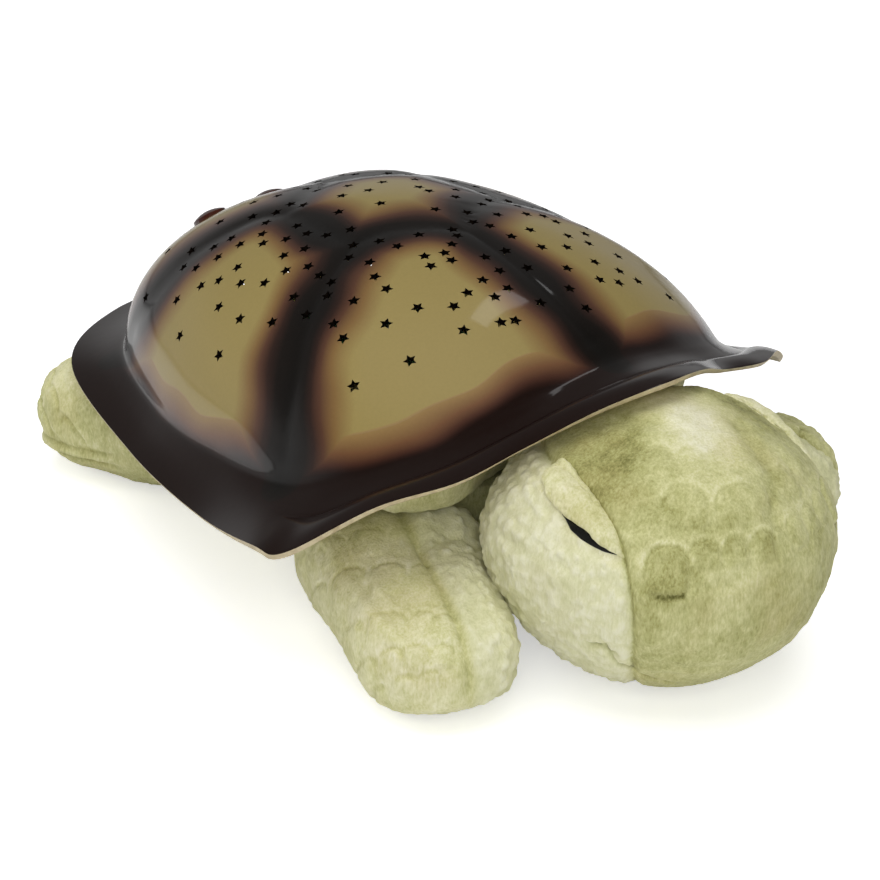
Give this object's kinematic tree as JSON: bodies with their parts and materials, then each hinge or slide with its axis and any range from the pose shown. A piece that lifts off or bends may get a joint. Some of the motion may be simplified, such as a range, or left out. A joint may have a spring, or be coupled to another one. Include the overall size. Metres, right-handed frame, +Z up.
{
  "type": "star night light projector",
  "caption": "Plush turtle night light with a hard domed shell full of star-shaped holes, push buttons on the shell, and a battery-powered light unit inside.",
  "frame": {"origin": "on the floor, on the flat belly panel between its mouth and its front edge, in the plane of symmetry of the shell", "axes": "+Z up, -Y towards the head, +X towards the turtle's left side"},
  "size_m": [0.2597, 0.3498, 0.138],
  "materials": {
    "shell_plastic": "glossy moulded shell with airbrushed brown bands round olive scutes",
    "inner_plastic": "fine moulded grain",
    "steel": "zinc plated",
    "nickel": "nickel plated spring steel",
    "cell_jacket": "plain printed sleeve with no words",
    "wire": "soft insulation",
    "circuit_board": "solder mask",
    "amber_lens": "tinted clear resin",
    "green_lens": "tinted clear resin",
    "blue_lens": "tinted clear resin",
    "black_plastic": "moulded",
    "grey_cable": "flat cable",
    "plush": "short khaki green pile",
    "pale_plush": "paler nubby pile",
    "hook_and_loop": "woven tape",
    "black_satin": "satin stitched"
  },
  "bodies": {
    "turtle": {"carapace": "shell_plastic", "base_plate": "inner_plastic", "battery_1": "cell_jacket", "battery_2": "cell_jacket", "battery_3": "cell_jacket", "contact_plates": "nickel", "contact_springs": "nickel", "battery_leads": "wire", "main_board": "circuit_board", "board_screws": "steel", "led_amber": "amber_lens", "led_green": "green_lens", "led_blue": "blue_lens", "button_board": "circuit_board", "button_board_screws": "steel", "tact_switches": "black_plastic", "button_ribbon": "grey_cable", "shell_screws": "steel", "plush_body": "plush", "neck_collar": "plush", "belly_panel": "pale_plush", "loop_strip": "hook_and_loop"},
    "left_button": {"button_left": "shell_plastic", "plunger_left": "black_plastic"},
    "middle_button": {"button_middle": "shell_plastic", "plunger_middle": "black_plastic"},
    "right_button": {"button_right": "shell_plastic", "plunger_right": "black_plastic"},
    "cell_door": {"battery_door": "inner_plastic"},
    "cell_door_screw": {"door_screw": "steel"},
    "flap": {"belly_flap": "pale_plush", "hook_strip": "hook_and_loop"},
    "head_group": {"head": "plush", "eyelid_left": "pale_plush", "eyelid_right": "pale_plush", "eye_left": "black_satin", "eye_right": "black_satin"},
    "left_front_flipper": {"front_flipper_left": "plush"},
    "right_front_flipper": {"front_flipper_right": "plush"},
    "left_rear_flipper": {"rear_flipper_left": "plush"},
    "right_rear_flipper": {"rear_flipper_right": "plush"}
  },
  "joints": [
    {"name": "press_left", "type": "slide", "parent": "turtle", "child": "left_button", "axis": [0, -0.5877, -0.8091], "range_m": [0, 0.0012], "stiffness_N_per_m": 600, "springref_m": -0.0005},
    {"name": "press_middle", "type": "slide", "parent": "turtle", "child": "middle_button", "axis": [0, -0.5877, -0.8091], "range_m": [0, 0.0012], "stiffness_N_per_m": 600, "springref_m": -0.0005},
    {"name": "press_right", "type": "slide", "parent": "turtle", "child": "right_button", "axis": [0, -0.5877, -0.8091], "range_m": [0, 0.0012], "stiffness_N_per_m": 600, "springref_m": -0.0005},
    {"name": "door_hinge", "type": "hinge", "parent": "turtle", "child": "cell_door", "pos_m": [0, 0.00675, 0.051], "axis": [-1, 0, 0], "range_deg": [0, 40]},
    {"name": "door_screw_turn", "type": "hinge", "parent": "cell_door", "child": "cell_door_screw", "pos_m": [0, 0.06525, 0.052], "axis": [0, 0, 1], "continuous": true},
    {"name": "flap_hinge", "type": "hinge", "parent": "turtle", "child": "flap", "pos_m": [0, 0.0079, 0.00125], "axis": [-1, 0, 0], "range_deg": [0, 105]},
    {"name": "head_turn", "type": "hinge", "parent": "turtle", "child": "head_group", "pos_m": [0, -0.1306, 0.0509], "axis": [0, 0, 1], "range_deg": [-15, 15]},
    {"name": "left_front_flipper_swing", "type": "hinge", "parent": "turtle", "child": "left_front_flipper", "pos_m": [0.065, -0.035, 0.02], "axis": [0, 0, 1], "range_deg": [-20, 8]},
    {"name": "right_front_flipper_swing", "type": "hinge", "parent": "turtle", "child": "right_front_flipper", "pos_m": [-0.065, -0.035, 0.02], "axis": [0, 0, 1], "range_deg": [-15, 1]},
    {"name": "left_rear_flipper_swing", "type": "hinge", "parent": "turtle", "child": "left_rear_flipper", "pos_m": [0.058, 0.1, 0.02], "axis": [0, 0, 1], "range_deg": [-10, 10]},
    {"name": "right_rear_flipper_swing", "type": "hinge", "parent": "turtle", "child": "right_rear_flipper", "pos_m": [-0.058, 0.1, 0.02], "axis": [0, 0, 1], "range_deg": [-10, 10]}
  ]
}
